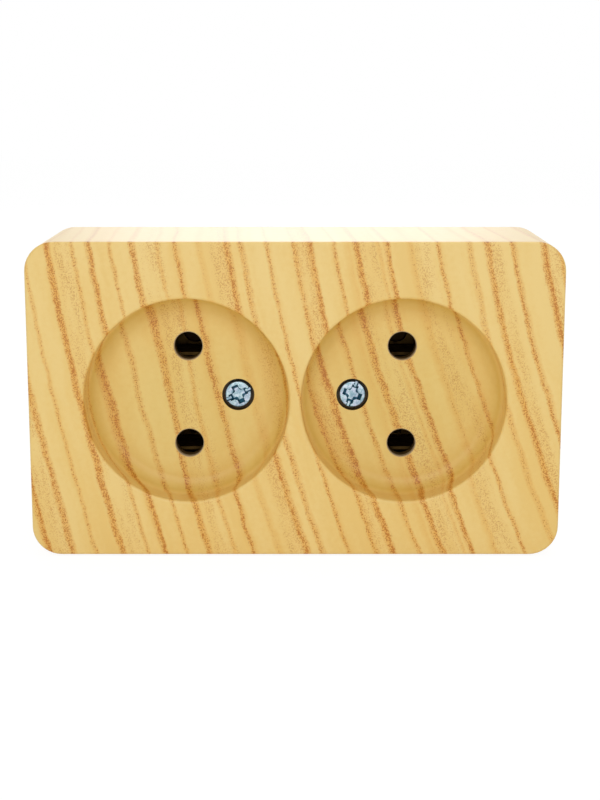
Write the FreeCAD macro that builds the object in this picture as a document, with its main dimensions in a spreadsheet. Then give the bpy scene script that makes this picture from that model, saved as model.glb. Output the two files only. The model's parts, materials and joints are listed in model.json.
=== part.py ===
"""Surface-mounted double wall socket without earth contacts, in millimetres.

X runs right along the wall, Y runs into the wall and Z runs up. The origin is the middle of the
wall face, so a height off the wall is -Y, and every level below is such a height.
"""
import FreeCAD, Part
import math
import os
import Sketcher

OUT_DIR = "parts"
CLOSE = 1e-4  # millimetres that count as no difference

doc = FreeCAD.newDocument("DoubleWallSocket")
sheet = doc.addObject("Spreadsheet::Sheet", "Sizes")

# Driving dimensions in millimetres and degrees
DRIVING = {
    # cover outside
    "front_width": 100.7,
    "front_height": 60,
    "depth": 31,
    "draft": 0.6,
    "corner_radius": 5.5,
    "front_rounding": 0.5,
    "side_wall": 2,
    "front_wall": 2.2,
    "cover_lift": 0.3,
    # wells that take the plugs
    "well_diameter": 38.8,
    "well_web": 2.2,
    "well_depth": 7,
    "well_draft": 1.5,
    "well_rim_rounding": 0.5,
    "well_floor_rounding": 3,
    "cup_wall": 1.8,
    "floor_wall": 2,
    # pins and their holes
    "pin_pitch": 19,
    "pin_length": 19,
    "pin_hole": 5.4,
    "pin_hole_chamfer": 0.15,
    "collar_diameter": 8.5,
    "collar_length": 1.5,
    # cover screws
    "screw_offset": 9.5,
    "screw_diameter": 3,
    "screw_length": 12,
    "screw_hole": 3.4,
    "screw_head": 5.1,
    "screw_head_height": 2.1,
    "screw_head_rounding": 0.5,
    "screw_tip_chamfer": 0.4,
    "slot_width": 0.8,
    "slot_depth": 0.8,
    "cross_width": 0.9,
    "cross_reach": 3.4,
    "cross_depth": 1.4,
    "head_recess": 6.2,
    "head_recess_depth": 2.4,
    "boss_diameter": 9,
    "boss_length": 2.5,
    "left_screw_turn": 25,
    "right_screw_turn": 70,
    # base
    "fit_gap": 0.3,
    "plate": 4,
    "post_diameter": 10,
    "channel_depth": 1.5,
    "tower_width": 12,
    "tower_height": 13,
    "tower_wall": 1.4,
    "tower_rounding": 1,
    "partition": 1.6,
    "partition_rise": 8,
    "wall_slot_length": 8,
    "wall_slot_width": 4.5,
    "wall_slot_inset": 10,
    "wall_recess_margin": 2.3,
    "wall_recess_depth": 1.5,
    "cable_notch_width": 24,
    "cable_notch_depth": 9,
    "cable_notch_rounding": 1.5,
    "base_rim": 3,
    "screw_tip_room": 1,
    "relief_width": 15,
    "relief_height": 14,
    "relief_rounding": 2,
    "relief_depth": 1.4,
    "knockout_width": 14,
    "knockout_rise": 12,
    "knockout_skin": 0.8,
    "rib_width": 1.2,
    "rib_reach": 1.6,
    "long_rib_offset": 13.5,
    "end_rib_place": 18,
    # metal inside
    "metal_gap": 0.05,
    "strip_thickness": 0.8,
    "bar_width": 7.6,
    "bar_end": 4.6,
    "metal_chamfer": 0.3,
    "bar_rounding": 1,
    "terminal_place": 5,
    "terminal_screw": 3.5,
    "terminal_head": 6,
    "terminal_head_height": 2,
    "terminal_head_chamfer": 0.5,
    "clamp_size": 7.4,
    "clamp_thickness": 1,
    "clamp_groove": 0.35,
    "clamp_rounding": 0.8,
    "nut_size": 6,
    "nut_thickness": 1.8,
    "cover_nut_size": 5.5,
    "cover_nut_depth": 3.7,
    "rivet_diameter": 2.5,
    "rivet_head": 4.6,
    "rivet_head_height": 0.6,
    "rivet_tail": 4.2,
    "rivet_tail_height": 0.8,
    "rivet_recess": 5.4,
    "rivet_recess_depth": 1.2,
    "jaw_thickness": 0.6,
    "jaw_width": 7,
    "jaw_foot": 7,
    "jaw_bend": 0.3,
    "jaw_turn": 90,
    "jaw_grip": 3.6,
    "jaw_grip_length": 4,
    "grip_from_tip": 6.3,
    "jaw_flare": 0.6,
    "jaw_lead": 1.4,
    "spring_thickness": 0.6,
    "spring_height": 3.2,
    "spring_mouth": 3.4,
    "spring_bend": 0.2,
}

# Sizes that follow from the driving ones
DERIVED = {
    "draft_rate": "tan(draft * 1deg)",
    "well_rate": "tan(well_draft * 1deg)",
    "rear_width": "front_width + 2 * (depth - cover_lift) * draft_rate",
    "rear_height": "front_height + 2 * (depth - cover_lift) * draft_rate",
    "rear_corner": "corner_radius + (depth - cover_lift) * draft_rate",
    "well_spacing": "well_diameter + well_web",
    "well_place": "well_spacing / 2",
    "pin_place": "pin_pitch / 2",
    "screw_place": "well_place - screw_offset",
    "floor_front": "depth - well_depth",
    "floor_back": "floor_front - floor_wall",
    "floor_diameter": "well_diameter - 2 * well_depth * well_rate",
    "floor_middle": "(floor_front + floor_back) / 2",
    "collar_level": "floor_back - collar_length",
    "seat_level": "floor_back - boss_length",
    "cup_top": "depth - front_wall / 2",
    "cavity_width": "rear_width - 2 * side_wall",
    "cavity_height": "rear_height - 2 * side_wall",
    "base_width": "cavity_width - 2 * fit_gap",
    "base_height": "cavity_height - 2 * fit_gap",
    "base_corner": "rear_corner - side_wall - fit_gap",
    "rib_root": "side_wall / 2",
    "rib_level": "plate + fit_gap",
    "long_rib_place": "well_place + long_rib_offset",
    "long_rib_middle": "cavity_height / 2 + (rib_root - rib_reach) / 2",
    "end_rib_middle": "cavity_width / 2 + (rib_root - rib_reach) / 2",
    "channel_floor": "plate - channel_depth",
    "nut_floor": "channel_floor - nut_thickness",
    "tower_top": "collar_level - fit_gap",
    "wall_slot_place": "base_width / 2 - wall_slot_inset",
    "bar_length": "well_spacing + 2 * bar_end",
    "bar_top": "channel_floor + strip_thickness",
    "jaw_floor": "bar_top + jaw_thickness",
    "channel_width": "bar_width + 2 * fit_gap",
    "head_seat": "floor_front - head_recess_depth",
    "head_top": "head_seat + screw_head_height",
    "screw_tip": "head_seat - screw_length",
    "cover_nut_top": "seat_level - cover_nut_depth",
    "cover_nut_floor": "cover_nut_top - nut_thickness",
    "nut_slide_inner": "screw_place - (post_diameter + fit_gap) / 2",
    "nut_slide_outer": "screw_place + (cover_nut_size + fit_gap) / 2",
    "terminal_seat": "bar_top + clamp_thickness",
    "terminal_top": "terminal_seat + terminal_head_height",
    "pin_tip": "floor_front - pin_length",
    "grip_start": "pin_tip + grip_from_tip",
    "grip_end": "grip_start + jaw_grip_length",
    "jaw_mouth": "grip_end + jaw_lead",
    "rivet_top": "jaw_floor + rivet_head_height",
    "rivet_bottom": "rivet_recess_depth - rivet_tail_height",
    "spring_level": "grip_start + (jaw_grip_length - spring_height) / 2",
    "rivet_hole": "rivet_diameter + 2 * metal_gap",
    "terminal_hole": "terminal_screw + 2 * metal_gap",
}


def fill_sheet():
    """Each size is one row: its name, its value or formula, and its name again as the alias."""
    for row, (alias, content) in enumerate({**DRIVING, **DERIVED}.items(), 1):
        sheet.set(f"A{row}", alias)
        sheet.set(f"B{row}", str(content) if alias in DRIVING else f"={content}")
        sheet.setAlias(f"B{row}", alias)
    doc.recompute()


def bound(formula):
    """A formula on the sheet's names becomes one that any object of the document can hold."""
    names = {**DRIVING, **DERIVED}
    words = "".join(c if c.isalnum() or c == "_" else f" {c} " for c in str(formula)).split(" ")
    return "".join(f"Sizes.{word}" if word in names else word for word in words)


def number(formula):
    """The value of a formula at the sheet's present sizes."""
    value = sheet.evalExpression(bound(formula))
    return float(getattr(value, "Value", value))


class Piece:
    """One separate solid of the socket, modelled as a body of sketches and features."""

    def __init__(self, label):
        self.body = doc.addObject("PartDesign::Body", label)
        self.body.Label = label
        self.count = 0

    def plane(self, role):
        return next(o for o in self.body.Origin.OriginFeatures if o.Role == role)

    def place(self, x=0, level=0, z=0, turn=None):
        """Put the piece's own origin at x, a level off the wall, and z."""
        if turn is not None:
            axis = FreeCAD.Vector(0, -1, 0)
            self.body.Placement = FreeCAD.Placement(FreeCAD.Vector(), axis, number(turn))
            self.body.setExpression(".Placement.Rotation.Angle", bound(turn))
        for letter, formula in (("x", x), ("y", f"-({level})"), ("z", z)):
            self.body.setExpression(f".Placement.Base.{letter}", bound(formula))
        return self

    def sketch(self, draw, level=0, x=0, z=0, role="XZ_Plane"):
        """A sketch parallel to the wall at a level, or on another plane of the body."""
        self.count += 1
        sketch = self.body.newObject("Sketcher::SketchObject", f"{self.body.Label}_sketch_{self.count}")
        sketch.AttachmentSupport = [(self.plane(role), "")]
        sketch.MapMode = "FlatFace"
        for letter, formula in (("x", x), ("y", z), ("z", level)):
            sketch.setExpression(f".AttachmentOffset.Base.{letter}", bound(formula))
        draw(sketch)
        doc.recompute()
        return sketch

    def feature(self, kind, sketch, **settings):
        self.count += 1
        feature = self.body.newObject(f"PartDesign::{kind}", f"{self.body.Label}_{kind}_{self.count}")
        feature.Profile = sketch
        for name, value in settings.items():
            if isinstance(value, str) and name in ("Length", "TaperAngle"):
                feature.setExpression(name, bound(value))
            else:
                setattr(feature, name, value)
        sketch.Visibility = False
        return feature

    def raised(self, draw, level, top, x=0, z=0, **settings):
        """Material from one level up to another."""
        profile = self.sketch(draw, level, x, z)
        return self.feature("Pad", profile, Length=f"({top}) - ({level})", **settings)

    def sunk(self, draw, level, floor, x=0, z=0, **settings):
        """A pocket that starts at one level and ends at a lower one."""
        before = self.volume()
        profile = self.sketch(draw, level, x, z)
        pocket = self.feature("Pocket", profile, Length=f"({level}) - ({floor})", **settings)
        if self.volume() > before - CLOSE:
            raise RuntimeError(f"{pocket.Label} cuts nothing")
        return pocket

    def mirrored(self, features, role):
        """The same features again on the other side of one of the body's planes."""
        self.count += 1
        mirror = self.body.newObject("PartDesign::Mirrored", f"{self.body.Label}_mirror_{self.count}")
        mirror.Originals = features
        mirror.MirrorPlane = (self.plane(role), [""])
        self.body.Tip = mirror
        doc.recompute()
        return mirror

    def rounded(self, test, radius, kind="Fillet"):
        """Round or chamfer the edges that pass the test."""
        doc.recompute()
        base = self.body.Tip
        names = [f"Edge{i}" for i, edge in enumerate(base.Shape.Edges, 1) if test(edge)]
        if not names:
            raise RuntimeError(f"{self.body.Label} has no edge to round")
        self.count += 1
        dressing = self.body.newObject(f"PartDesign::{kind}", f"{self.body.Label}_{kind}_{self.count}")
        dressing.Base = (base, names)
        dressing.setExpression("Radius" if kind == "Fillet" else "Size", bound(radius))
        doc.recompute()
        return dressing

    def volume(self):
        doc.recompute()
        return self.body.Shape.Volume


def hold(sketch, name, constraint, formula):
    """Add a named constraint and bind it to a formula."""
    index = sketch.addConstraint(constraint)
    sketch.renameConstraint(index, name)
    sketch.setExpression(f"Constraints.{name}", bound(formula))


def circle(diameter):
    """A circle about the sketch's origin."""

    def draw(sketch):
        round_line = Part.Circle(FreeCAD.Vector(), FreeCAD.Vector(0, 0, 1), number(diameter) / 2)
        edge = sketch.addGeometry(round_line)
        sketch.addConstraint(Sketcher.Constraint("Coincident", edge, 3, -1, 1))
        hold(sketch, f"size_{edge}", Sketcher.Constraint("Diameter", edge, number(diameter)), diameter)

    return draw


def polygon(points):
    """A closed outline through points, each a pair of formulas from the sketch's origin."""

    def draw(sketch):
        corners = [FreeCAD.Vector(number(x), number(y), 0) for x, y in points]
        edges = [
            sketch.addGeometry(Part.LineSegment(corner, corners[(i + 1) % len(corners)]))
            for i, corner in enumerate(corners)
        ]
        for i, edge in enumerate(edges):
            after = edges[(i + 1) % len(edges)]
            sketch.addConstraint(Sketcher.Constraint("Coincident", edge, 2, after, 1))
            x, y = points[i]
            for name, kind, formula in (("across", "DistanceX", x), ("up", "DistanceY", y)):
                rule = Sketcher.Constraint(kind, -1, 1, edge, 1, number(formula))
                hold(sketch, f"{name}_{edge}", rule, formula)

    return draw


def rectangle(width, height):
    """A rectangle about the sketch's origin."""
    half_w, half_h = f"({width}) / 2", f"({height}) / 2"
    corners = [(-1, -1), (1, -1), (1, 1), (-1, 1)]
    return polygon([(f"{sx} * {half_w}", f"{sy} * {half_h}") for sx, sy in corners])


def rounded_rectangle(width, height, radius):
    """A rectangle about the sketch's origin with four tangent corner arcs."""

    def draw(sketch):
        half_w, half_h, r = number(width) / 2, number(height) / 2, number(radius)
        vector, normal = FreeCAD.Vector, FreeCAD.Vector(0, 0, 1)
        quarter = math.pi / 2
        arcs = []
        for turn, (sx, sy) in enumerate([(1, 1), (-1, 1), (-1, -1), (1, -1)]):
            corner = Part.Circle(vector(sx * (half_w - r), sy * (half_h - r), 0), normal, r)
            arc = Part.ArcOfCircle(corner, turn * quarter, (turn + 1) * quarter)
            arcs.append(sketch.addGeometry(arc))
        for i, arc in enumerate(arcs):
            start = sketch.getPoint(arc, 2)
            end = sketch.getPoint(arcs[(i + 1) % 4], 1)
            side = sketch.addGeometry(Part.LineSegment(start, end))
            sketch.addConstraint(Sketcher.Constraint("Tangent", arc, 2, side, 1))
            sketch.addConstraint(Sketcher.Constraint("Tangent", side, 2, arcs[(i + 1) % 4], 1))
            sketch.addConstraint(Sketcher.Constraint("Horizontal" if i % 2 == 0 else "Vertical", side))
        for arc in arcs[1:]:
            sketch.addConstraint(Sketcher.Constraint("Equal", arcs[0], arc))
        sketch.addConstraint(Sketcher.Constraint("Symmetric", arcs[0], 3, arcs[2], 3, -1, 1))
        wide = Sketcher.Constraint("DistanceX", arcs[1], 3, arcs[0], 3, 2 * (half_w - r))
        tall = Sketcher.Constraint("DistanceY", arcs[3], 3, arcs[0], 3, 2 * (half_h - r))
        hold(sketch, f"wide_{arcs[0]}", wide, f"({width}) - 2 * ({radius})")
        hold(sketch, f"tall_{arcs[0]}", tall, f"({height}) - 2 * ({radius})")
        hold(sketch, f"corner_{arcs[0]}", Sketcher.Constraint("Radius", arcs[0], r), radius)

    return draw


def slot(length, width):
    """A round-ended slot along X about the sketch's origin; the length is measured end to end."""

    def draw(sketch):
        r = number(width) / 2
        reach = number(length) / 2 - r
        normal = FreeCAD.Vector(0, 0, 1)
        ends = []
        for side, start in ((1, -math.pi / 2), (-1, math.pi / 2)):
            turned = Part.Circle(FreeCAD.Vector(side * reach, 0, 0), normal, r)
            ends.append(sketch.addGeometry(Part.ArcOfCircle(turned, start, start + math.pi)))
        for i in (0, 1):
            start, end = sketch.getPoint(ends[i], 2), sketch.getPoint(ends[1 - i], 1)
            side = sketch.addGeometry(Part.LineSegment(start, end))
            sketch.addConstraint(Sketcher.Constraint("Tangent", ends[i], 2, side, 1))
            sketch.addConstraint(Sketcher.Constraint("Tangent", side, 2, ends[1 - i], 1))
        sketch.addConstraint(Sketcher.Constraint("Equal", ends[0], ends[1]))
        sketch.addConstraint(Sketcher.Constraint("Symmetric", ends[0], 3, ends[1], 3, -1, 1))
        sketch.addConstraint(Sketcher.Constraint("PointOnObject", ends[0], 3, -1))
        long = Sketcher.Constraint("DistanceX", ends[1], 3, ends[0], 3, 2 * reach)
        hold(sketch, "long_way", long, f"({length}) - ({width})")
        hold(sketch, "end_radius", Sketcher.Constraint("Radius", ends[0], r), f"({width}) / 2")

    return draw


def at_level(edge, level):
    """Does the whole edge lie at this height off the wall?"""
    box = edge.BoundBox
    return abs(box.YMin + number(level)) < CLOSE and abs(box.YMax + number(level)) < CLOSE


def is_arc(edge, diameter):
    """Does the edge follow a circle of this diameter?"""
    curve = edge.Curve
    return isinstance(curve, Part.Circle) and abs(curve.Radius - number(diameter) / 2) < 10 * CLOSE


def is_ring(edge, diameter):
    """Is the edge a full circle of this diameter?"""
    return edge.isClosed() and is_arc(edge, diameter)


def along_z(edge, x, level):
    """Is the edge a line along Z at this distance from the middle and this level?"""
    box = edge.BoundBox
    straight = box.XLength < CLOSE and box.YLength < CLOSE
    there = abs(abs(box.XMin) - number(x)) < CLOSE and abs(box.YMin + number(level)) < CLOSE
    return straight and there


def make_cover():
    """The moulded shell with both plug wells, its fixing bosses and its cable knock-outs."""
    cover = Piece("cover")
    shell_cover(cover)
    back_wells(cover)
    add_ribs(cover)
    open_wells(cover)
    thin_knockouts(cover)


def shell_cover(cover):
    """The drafted box and its hollow, both widest at the wall."""
    outside = cover.sketch(rounded_rectangle("front_width", "front_height", "corner_radius"), "depth")
    cover.feature("Pad", outside, Length="depth - cover_lift", Reversed=True, TaperAngle="draft")
    cover.rounded(lambda edge: at_level(edge, "depth"), "front_rounding")

    hollow = rounded_rectangle("cavity_width", "cavity_height", "rear_corner - side_wall")
    rear = cover.sketch(hollow, "cover_lift")
    hollow_depth = "depth - front_wall - cover_lift"
    cover.feature("Pocket", rear, Length=hollow_depth, Reversed=True, TaperAngle="-draft")


def back_wells(cover):
    """Solid cups behind the front, with a collar round each pin hole and a boss for each screw."""
    cup = circle("floor_diameter + 2 * cup_wall")
    backing = [cover.raised(cup, "floor_back", "cup_top", "well_place", TaperAngle="well_draft")]
    for side in (1, -1):
        collar = circle("collar_diameter")
        row = f"{side} * pin_place"
        backing.append(cover.raised(collar, "collar_level", "floor_middle", "well_place", row))
    backing.append(cover.raised(circle("boss_diameter"), "seat_level", "floor_middle", "screw_place"))
    cover.mirrored(backing, "YZ_Plane")


def add_ribs(cover):
    """Ribs on the inner walls, which end just above the base and keep it down."""
    ribs = []
    for side in (1, -1):
        on_long_wall = rectangle("rib_width", "rib_reach + rib_root")
        middle = f"{side} * long_rib_middle"
        ribs.append(cover.raised(on_long_wall, "rib_level", "cup_top", "long_rib_place", middle))
        on_end_wall = rectangle("rib_reach + rib_root", "rib_width")
        middle = f"{side} * end_rib_place"
        ribs.append(cover.raised(on_end_wall, "rib_level", "cup_top", "end_rib_middle", middle))
    cover.mirrored(ribs, "YZ_Plane")


def open_wells(cover):
    """The wells, the pin holes and the screw holes, with the roundings of their edges."""
    well = circle("well_diameter")
    wells = [cover.sunk(well, "depth", "floor_front", "well_place", TaperAngle="-well_draft")]
    for side in (1, -1):
        row = f"{side} * pin_place"
        wells.append(cover.sunk(circle("pin_hole"), "floor_front", "collar_level", "well_place", row))
    wells.append(cover.sunk(circle("head_recess"), "floor_front", "head_seat", "screw_place"))
    wells.append(cover.sunk(circle("screw_hole"), "head_seat", "seat_level", "screw_place"))
    cover.mirrored(wells, "YZ_Plane")

    for level, diameter, radius, kind in (
        ("floor_front", "floor_diameter", "well_floor_rounding", "Fillet"),
        ("depth", "well_diameter", "well_rim_rounding", "Fillet"),
        ("floor_front", "pin_hole", "pin_hole_chamfer", "Chamfer"),
    ):
        cover.rounded(lambda edge: at_level(edge, level) and is_ring(edge, diameter), radius, kind)


def thin_knockouts(cover):
    """A patch of each long wall, thinned from inside, that breaks out for a surface cable."""
    patch = rectangle("knockout_width", "knockout_rise")
    middle = "-(cover_lift + knockout_rise / 2)"
    inside = cover.sketch(patch, "front_height / 2 - knockout_skin", 0, middle, "XY_Plane")
    cover.mirrored([cover.feature("Pocket", inside, Length="side_wall")], "XY_Plane")


def make_base():
    """The moulded base that holds the live parts, stands on the wall and carries the cover."""
    base = Piece("base")
    raise_base(base)
    hollow_towers(base)
    cut_cover_posts(base)
    cut_wall_slots(base)
    relieve_back(base)


def raise_base(base):
    """The plate with a tower for each jaw, a post for each cover screw and a partition."""
    base.raised(rounded_rectangle("base_width", "base_height", "base_corner"), 0, "plate")
    walls = [base.raised(circle("post_diameter"), "plate", "seat_level", "screw_place")]
    for side in (1, -1):
        tower = rounded_rectangle("tower_width", "tower_height", "tower_rounding")
        walls.append(base.raised(tower, "plate", "tower_top", "well_place", f"{side} * pin_place"))
    base.mirrored(walls, "YZ_Plane")
    base.raised(rectangle("2 * screw_place", "partition"), "plate", "plate + partition_rise")


def hollow_towers(base):
    """Room in the towers for the jaws, channels for the bars, and seats for nuts and rivets."""
    cuts = []
    for side in (1, -1):
        row = f"{side} * pin_place"
        channel = rectangle("bar_length + 2 * fit_gap", "channel_width")
        base.sunk(channel, "plate", "channel_floor", 0, row)
        inside = rectangle("tower_width - 2 * tower_wall", "tower_height - 2 * tower_wall")
        cuts.append(base.sunk(inside, "tower_top", "plate", "well_place", row))
        passage = rectangle("tower_width + 2 * tower_wall", "channel_width")
        cuts.append(base.sunk(passage, "tower_top", "plate", "well_place", row))
        nut_room = rectangle("nut_size + fit_gap", "nut_size + fit_gap")
        cuts.append(base.sunk(nut_room, "channel_floor", "nut_floor - metal_gap", "terminal_place", row))
        cuts.append(base.sunk(circle("rivet_hole"), "channel_floor", 0, "well_place", row))
        cuts.append(base.sunk(circle("rivet_recess"), "rivet_recess_depth", 0, "well_place", row))
    base.mirrored(cuts, "YZ_Plane")


def cut_cover_posts(base):
    """A blind hole down each post, and a slot in its side that takes the nut."""
    cuts = [base.sunk(circle("screw_hole"), "seat_level", "screw_tip - screw_tip_room", "screw_place")]
    slide = rectangle("nut_slide_outer - nut_slide_inner", "cover_nut_size + fit_gap")
    middle = "(nut_slide_outer + nut_slide_inner) / 2"
    cuts.append(base.sunk(slide, "cover_nut_top", "cover_nut_floor - metal_gap", middle))
    base.mirrored(cuts, "YZ_Plane")


def cut_wall_slots(base):
    """Round-ended slots for the wall screws, with room for their heads."""
    through = slot("wall_slot_length", "wall_slot_width")
    cuts = [base.sunk(through, "plate", 0, "wall_slot_place")]
    margin = "2 * wall_recess_margin"
    head_room = slot(f"wall_slot_length + {margin}", f"wall_slot_width + {margin}")
    cuts.append(base.sunk(head_room, "plate", "plate - wall_recess_depth", "wall_slot_place"))
    base.mirrored(cuts, "YZ_Plane")


def relieve_back(base):
    """Shallow hollows in the wall face, which even out the moulding, and notches for the cable."""
    relief = rounded_rectangle("relief_width", "relief_height", "relief_rounding")
    x = "base_width / 2 - base_rim - relief_width / 2"
    z = "base_height / 2 - base_rim - relief_height / 2"
    hollows = [base.sunk(relief, "relief_depth", 0, x, f"{side} * ({z})") for side in (1, -1)]
    base.mirrored(hollows, "YZ_Plane")

    notch = rounded_rectangle("cable_notch_width", "2 * cable_notch_depth", "cable_notch_rounding")
    base.mirrored([base.sunk(notch, "plate", 0, 0, "base_height / 2")], "XY_Plane")


def make_cover_screw(side, x, turn):
    """A pan-head screw with a cross recess crossed by a slot; its threads stay plain."""
    screw = Piece(f"cover_screw_{side}").place(x, 0, 0, turn)
    screw.raised(circle("screw_head"), "head_seat", "head_top")
    screw.rounded(lambda edge: at_level(edge, "head_top"), "screw_head_rounding")
    screw.raised(circle("screw_diameter"), "screw_tip", "head_seat")
    screw.rounded(lambda edge: at_level(edge, "screw_tip"), "screw_tip_chamfer", "Chamfer")
    screw.sunk(rectangle("2 * screw_head", "slot_width"), "head_top", "head_top - slot_depth")
    for across, up in (("cross_reach", "cross_width"), ("cross_width", "cross_reach")):
        screw.sunk(rectangle(across, up), "head_top", "head_top - cross_depth")


def make_nut(label, x, z, size, top, hole):
    """A square nut with its upper rim chamfered."""
    nut = Piece(label).place(x, 0, z)
    nut.raised(rectangle(size, size), f"{top} - nut_thickness", top)
    nut.sunk(circle(hole), top, f"{top} - nut_thickness")
    nut.rounded(lambda edge: at_level(edge, top) and not is_arc(edge, hole), "metal_chamfer", "Chamfer")


def make_bus_bar(row, z):
    """A brass strip that joins the two contacts of one pole and carries its terminals."""
    bar = Piece(f"bus_bar_{row}").place(0, 0, z)
    bar.raised(rounded_rectangle("bar_length", "bar_width", "bar_rounding"), "channel_floor", "bar_top")
    holes = [bar.sunk(circle("rivet_hole"), "bar_top", "channel_floor", "well_place")]
    holes.append(bar.sunk(circle("terminal_hole"), "bar_top", "channel_floor", "terminal_place"))
    bar.mirrored(holes, "YZ_Plane")


def make_terminal(place, x, z):
    """A wire terminal: a screw through a clamp plate and the bar into a captive nut."""
    screw = Piece(f"terminal_screw_{place}").place(x, 0, z)
    screw.raised(circle("terminal_head"), "terminal_seat", "terminal_top")
    screw.rounded(lambda edge: at_level(edge, "terminal_top"), "terminal_head_chamfer", "Chamfer")
    screw.raised(circle("terminal_screw"), "nut_floor", "terminal_seat")
    screw.sunk(rectangle("2 * terminal_head", "slot_width"), "terminal_top", "terminal_top - slot_depth")

    clamp = Piece(f"clamp_plate_{place}").place(x, 0, z)
    plate = rounded_rectangle("clamp_size", "clamp_size", "clamp_rounding")
    clamp.raised(plate, "bar_top", "terminal_seat")
    clamp.sunk(circle("terminal_hole"), "terminal_seat", "bar_top")
    groove = clamp.sketch(circle("2 * clamp_groove"), 0, "terminal_head / 2", "-bar_top", "XY_Plane")
    cut = clamp.feature("Pocket", groove, Length="2 * clamp_size", Midplane=True)
    clamp.mirrored([cut], "YZ_Plane")

    make_nut(f"terminal_nut_{place}", x, z, "nut_size", "channel_floor", "terminal_hole")


def make_jaw(place, x, z):
    """A brass strip folded to a U whose leaves close on the pin and flare at the mouth."""
    jaw = Piece(f"jaw_{place}").place(x, 0, z, "jaw_turn")
    foot, grip, thick = "jaw_foot / 2", "jaw_grip / 2", "jaw_thickness"
    right = [
        (foot, "bar_top"),
        (f"{grip} + {thick}", "grip_start"),
        (f"{grip} + {thick}", "grip_end"),
        (f"{grip} + {thick} + jaw_flare", "jaw_mouth"),
        (f"{grip} + jaw_flare", "jaw_mouth"),
        (grip, "grip_end"),
        (grip, "grip_start"),
        (f"{foot} - {thick}", "jaw_floor"),
    ]
    outline = [(x, f"-({level})") for x, level in right]
    outline += [(f"-({x})", y) for x, y in reversed(outline)]
    side_view = jaw.sketch(polygon(outline), role="XY_Plane")
    jaw.feature("Pad", side_view, Length="jaw_width", Midplane=True)
    jaw.rounded(lambda edge: along_z(edge, foot, "bar_top"), "jaw_bend + jaw_thickness")
    jaw.rounded(lambda edge: along_z(edge, f"{foot} - {thick}", "jaw_floor"), "jaw_bend")
    jaw.sunk(circle("rivet_hole"), "jaw_floor", "bar_top")


def make_jaw_spring(place, x, z, side):
    """A flat steel clip round the leaves of a jaw, open on the side away from the middle."""
    spring = Piece(f"jaw_spring_{place}").place(x, 0, z, "jaw_turn")
    across = "jaw_grip + 2 * jaw_thickness + 2 * metal_gap"
    tall = "jaw_width + fit_gap"
    band = "2 * spring_thickness"
    inner = rounded_rectangle(across, tall, "spring_bend")
    outer = rounded_rectangle(f"{across} + {band}", f"{tall} + {band}", "spring_bend + spring_thickness")

    def both(sketch):
        outer(sketch)
        inner(sketch)

    spring.raised(both, "spring_level", "spring_level + spring_height")
    mouth = rectangle("spring_mouth", band)
    wall_middle = f"{-side} * ({tall} + spring_thickness) / 2"
    spring.sunk(mouth, "spring_level + spring_height", "spring_level", 0, wall_middle)


def make_rivet(place, x, z):
    """A rivet that holds jaw, bar and base together; its tail lies sunk in the wall face."""
    rivet = Piece(f"rivet_{place}").place(x, 0, z)
    rivet.raised(circle("rivet_head"), "jaw_floor", "rivet_top")
    rivet.rounded(lambda edge: at_level(edge, "rivet_top"), "metal_chamfer", "Chamfer")
    rivet.raised(circle("rivet_diameter"), "rivet_recess_depth", "jaw_floor")
    rivet.raised(circle("rivet_tail"), "rivet_bottom", "rivet_recess_depth")


def make_socket():
    """Every piece, with left at negative X and upper at positive Z."""
    make_cover()
    make_base()
    for side, name in ((-1, "left"), (1, "right")):
        x = f"{side} * screw_place"
        make_cover_screw(name, x, f"{name}_screw_turn")
        make_nut(f"cover_nut_{name}", x, 0, "cover_nut_size", "cover_nut_top", "screw_hole")
    for row_side, row in ((1, "upper"), (-1, "lower")):
        z = f"{row_side} * pin_place"
        make_bus_bar(row, z)
        for side, name in ((-1, "left"), (1, "right")):
            make_terminal(f"{name}_{row}", f"{side} * terminal_place", z)
            make_jaw(f"{name}_{row}", f"{side} * well_place", z)
            make_jaw_spring(f"{name}_{row}", f"{side} * well_place", z, side)
            make_rivet(f"{name}_{row}", f"{side} * well_place", z)


def write_parts():
    """Check every object, then write each piece under its own label."""
    doc.recompute()
    failed = [o.Label for o in doc.Objects if {"Invalid", "Error"} & set(o.State)]
    if failed:
        raise RuntimeError(f"these did not build: {failed}")
    pieces = doc.findObjects("PartDesign::Body")
    for piece in pieces:
        if piece.Shape.isNull() or not piece.Shape.isValid() or len(piece.Shape.Solids) != 1:
            raise RuntimeError(f"{piece.Label} is not one sound solid")
    os.makedirs(OUT_DIR, exist_ok=True)
    for piece in pieces:
        piece.Shape.exportStep(f"{OUT_DIR}/{piece.Label}.step")
        print(f"{piece.Label:28} {piece.Shape.Volume:10.1f} mm3")


fill_sheet()
make_socket()
write_parts()
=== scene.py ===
# %% [markdown]
# A double wall socket
#
# The real socket is a moulded cover with a printed wood look, screwed to a dark base that holds
# brass contacts. Its construction comes packed, as one mesh for each piece. This lesson gives the
# pieces their finish, and models again the ones whose curves or threads need more than facets.

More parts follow.
